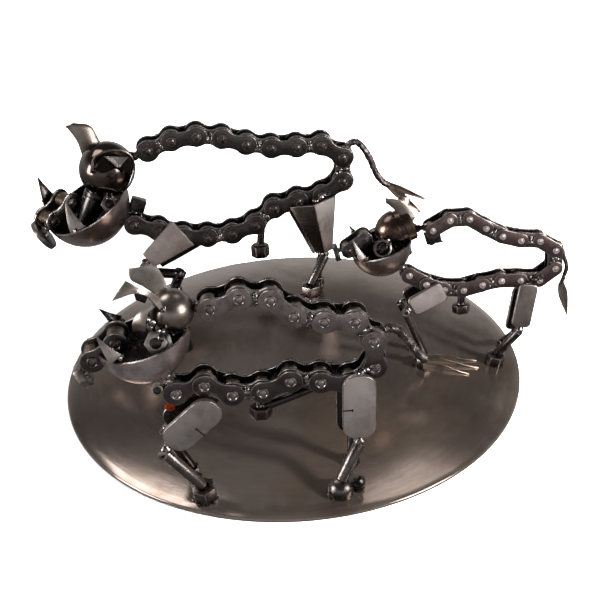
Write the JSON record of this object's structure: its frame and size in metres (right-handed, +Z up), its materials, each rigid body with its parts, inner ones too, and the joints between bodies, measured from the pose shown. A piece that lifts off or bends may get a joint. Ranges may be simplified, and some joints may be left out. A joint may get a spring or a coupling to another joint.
{
  "type": "recycled metal boar sculpture",
  "caption": "Boars with looped roller-chain bodies, round skulls, bowl jaws, tusks, plate legs and wire tails, welded on a domed steel disc.",
  "frame": {"origin": "middle of the bounding box, on the plane the disc's rim stands on", "axes": "+Z up, +X from the boars' snouts to their tails, -Y towards the viewer of the picture"},
  "size_m": [0.3252, 0.275, 0.1487],
  "materials": {
    "back_chain_body": "dark oiled steel, clear lacquer",
    "back_ear_far": "satin steel, clear lacquer",
    "back_ear_near": "satin steel, clear lacquer",
    "back_eye_far": "satin steel, clear lacquer",
    "back_eye_near": "satin steel, clear lacquer",
    "back_fore_shin_far": "dark polished steel, clear lacquer",
    "back_fore_shin_near": "satin steel, clear lacquer",
    "back_fore_thigh_far": "satin steel, clear lacquer",
    "back_fore_thigh_near": "satin steel, clear lacquer",
    "back_jaw": "dark polished steel, clear lacquer",
    "back_rear_shin_far": "satin steel, clear lacquer",
    "back_rear_shin_near": "satin steel, clear lacquer",
    "back_rear_thigh_far": "satin steel, clear lacquer",
    "back_rear_thigh_near": "satin steel, clear lacquer",
    "back_skull": "dark polished steel, clear lacquer",
    "back_snout": "dark oiled steel, clear lacquer",
    "back_tail": "dark polished steel, clear lacquer",
    "back_tusk_far": "satin steel, clear lacquer",
    "back_tusk_near": "satin steel, clear lacquer",
    "disc": "brushed steel with heat tint, clear lacquer",
    "front_chain_body": "dark oiled steel, clear lacquer",
    "front_ear_far": "satin steel, clear lacquer",
    "front_ear_near": "satin steel, clear lacquer",
    "front_eye_far": "satin steel, clear lacquer",
    "front_eye_near": "satin steel, clear lacquer",
    "front_fore_shin_far": "dark polished steel, clear lacquer",
    "front_fore_shin_near": "satin steel, clear lacquer",
    "front_fore_thigh_far": "satin steel, clear lacquer",
    "front_fore_thigh_near": "satin steel, clear lacquer",
    "front_jaw": "dark polished steel, clear lacquer",
    "front_rear_shin_far": "satin steel, clear lacquer",
    "front_rear_shin_near": "satin steel, clear lacquer",
    "front_rear_thigh_far": "satin steel, clear lacquer",
    "front_rear_thigh_near": "satin steel, clear lacquer",
    "front_skull": "dark polished steel, clear lacquer",
    "front_snout": "dark oiled steel, clear lacquer",
    "front_tail": "dark polished steel, clear lacquer",
    "front_tusk_far": "satin steel, clear lacquer",
    "front_tusk_near": "satin steel, clear lacquer",
    "small_chain_body": "dark oiled steel, clear lacquer",
    "small_ear_far": "satin steel, clear lacquer",
    "small_ear_near": "satin steel, clear lacquer",
    "small_eye_far": "satin steel, clear lacquer",
    "small_eye_near": "satin steel, clear lacquer",
    "small_fore_shin_far": "dark polished steel, clear lacquer",
    "small_fore_shin_near": "satin steel, clear lacquer",
    "small_fore_thigh_far": "satin steel, clear lacquer",
    "small_fore_thigh_near": "satin steel, clear lacquer",
    "small_jaw": "dark polished steel, clear lacquer",
    "small_rear_shin_far": "satin steel, clear lacquer",
    "small_rear_shin_near": "satin steel, clear lacquer",
    "small_rear_thigh_far": "satin steel, clear lacquer",
    "small_rear_thigh_near": "satin steel, clear lacquer",
    "small_skull": "dark polished steel, clear lacquer",
    "small_snout": "dark oiled steel, clear lacquer",
    "small_tail": "dark polished steel, clear lacquer",
    "small_tusk_far": "satin steel, clear lacquer",
    "small_tusk_near": "satin steel, clear lacquer"
  },
  "bodies": {
    "root": {"back_chain_body": "back_chain_body", "back_ear_far": "back_ear_far", "back_ear_near": "back_ear_near", "back_eye_far": "back_eye_far", "back_eye_near": "back_eye_near", "back_fore_shin_far": "back_fore_shin_far", "back_fore_shin_near": "back_fore_shin_near", "back_fore_thigh_far": "back_fore_thigh_far", "back_fore_thigh_near": "back_fore_thigh_near", "back_jaw": "back_jaw", "back_rear_shin_far": "back_rear_shin_far", "back_rear_shin_near": "back_rear_shin_near", "back_rear_thigh_far": "back_rear_thigh_far", "back_rear_thigh_near": "back_rear_thigh_near", "back_skull": "back_skull", "back_snout": "back_snout", "back_tail": "back_tail", "back_tusk_far": "back_tusk_far", "back_tusk_near": "back_tusk_near", "disc": "disc", "front_chain_body": "front_chain_body", "front_ear_far": "front_ear_far", "front_ear_near": "front_ear_near", "front_eye_far": "front_eye_far", "front_eye_near": "front_eye_near", "front_fore_shin_far": "front_fore_shin_far", "front_fore_shin_near": "front_fore_shin_near", "front_fore_thigh_far": "front_fore_thigh_far", "front_fore_thigh_near": "front_fore_thigh_near", "front_jaw": "front_jaw", "front_rear_shin_far": "front_rear_shin_far", "front_rear_shin_near": "front_rear_shin_near", "front_rear_thigh_far": "front_rear_thigh_far", "front_rear_thigh_near": "front_rear_thigh_near", "front_skull": "front_skull", "front_snout": "front_snout", "front_tail": "front_tail", "front_tusk_far": "front_tusk_far", "front_tusk_near": "front_tusk_near", "small_chain_body": "small_chain_body", "small_ear_far": "small_ear_far", "small_ear_near": "small_ear_near", "small_eye_far": "small_eye_far", "small_eye_near": "small_eye_near", "small_fore_shin_far": "small_fore_shin_far", "small_fore_shin_near": "small_fore_shin_near", "small_fore_thigh_far": "small_fore_thigh_far", "small_fore_thigh_near": "small_fore_thigh_near", "small_jaw": "small_jaw", "small_rear_shin_far": "small_rear_shin_far", "small_rear_shin_near": "small_rear_shin_near", "small_rear_thigh_far": "small_rear_thigh_far", "small_rear_thigh_near": "small_rear_thigh_near", "small_skull": "small_skull", "small_snout": "small_snout", "small_tail": "small_tail", "small_tusk_far": "small_tusk_far", "small_tusk_near": "small_tusk_near"}
  },
  "joints": []
}
